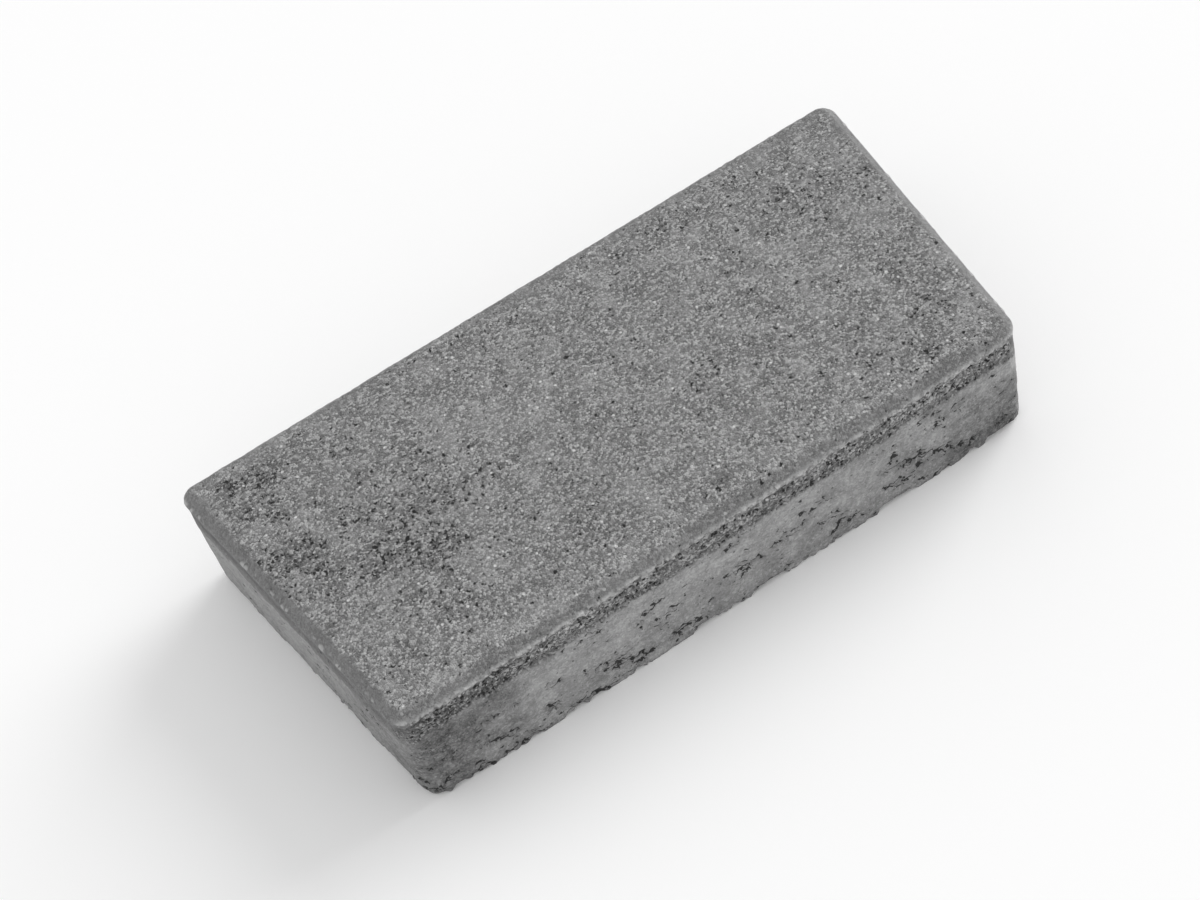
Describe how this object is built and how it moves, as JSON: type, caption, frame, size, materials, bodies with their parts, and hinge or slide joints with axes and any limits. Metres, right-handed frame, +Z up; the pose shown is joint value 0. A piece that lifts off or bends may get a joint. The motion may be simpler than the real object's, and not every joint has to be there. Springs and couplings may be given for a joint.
{
  "type": "concrete mowing edge stone",
  "caption": "Wedge-shaped concrete edge stone with a bevelled top rim, laid flush along a lawn in straight or curved rows so that a mower's wheel runs on it.",
  "frame": {"origin": "on the bed, midway along the stone and midway between its long and short side faces", "axes": "+X along the stone, +Y towards its long side, which is outside on a curve, +Z up out of the walked-on face"},
  "size_m": [0.2484, 0.12, 0.045],
  "materials": {
    "concrete": "matte"
  },
  "bodies": {
    "root": {"mowing_edge_stone": "concrete"}
  },
  "joints": []
}
